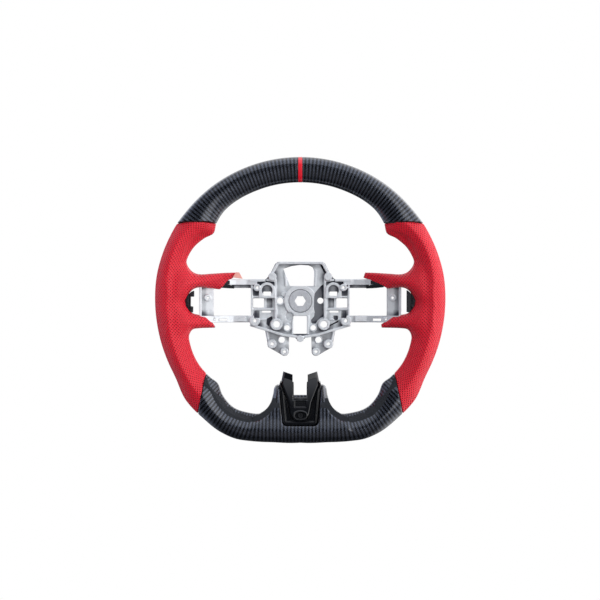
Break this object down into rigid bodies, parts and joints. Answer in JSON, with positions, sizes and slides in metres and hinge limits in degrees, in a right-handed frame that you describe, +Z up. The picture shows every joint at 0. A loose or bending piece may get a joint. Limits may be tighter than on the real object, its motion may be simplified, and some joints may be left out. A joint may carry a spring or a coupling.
{
  "type": "steering wheel",
  "caption": "Bare flat-bottomed sports steering wheel: die-cast hub and spoke frame, perforated leather grips, carbon-fibre rim sections, top centre stripe and two-prong lower trim.",
  "frame": {"origin": "centre of the hub's rear seat, on the steering axis", "axes": "+Y along the steering axis towards the column, -Y towards the driver, +Z up to 12 o'clock, +X to the driver's right"},
  "size_m": [0.3684, 0.0621, 0.3635],
  "materials": {
    "cast_alloy": "satin, as cast",
    "machined_steel": "machined",
    "core_steel": "drawn",
    "black_foam": "matte, moulded skin",
    "red_leather": "perforated, semi-matte",
    "leather_underside": "suede underside",
    "carbon_weave": "woven fibre under clear coat",
    "red_stripe": "gloss",
    "red_thread": "twisted thread",
    "liner_plastic": "matte",
    "gloss_trim": "piano black",
    "black_screw": "blackened"
  },
  "bodies": {
    "root": {"armature_casting": "cast_alloy", "hub_insert": "machined_steel", "rim_core": "core_steel", "foam_core_top": "black_foam", "foam_core_bottom": "black_foam", "foam_grip_left": "black_foam", "foam_grip_right": "black_foam", "leather_grip_left": "red_leather", "leather_grip_right": "red_leather", "leather_flap_left": "leather_underside", "carbon_rim_top": "carbon_weave", "carbon_rim_bottom": "carbon_weave", "centre_stripe": "red_stripe", "seam_thread_upper_left": "red_thread", "seam_thread_upper_right": "red_thread", "seam_thread_lower_left": "red_thread", "seam_thread_lower_right": "red_thread", "window_liner_left": "liner_plastic", "window_liner_right": "liner_plastic", "trim_frame": "gloss_trim", "trim_bracket": "gloss_trim", "trim_screw": "black_screw"}
  },
  "joints": []
}
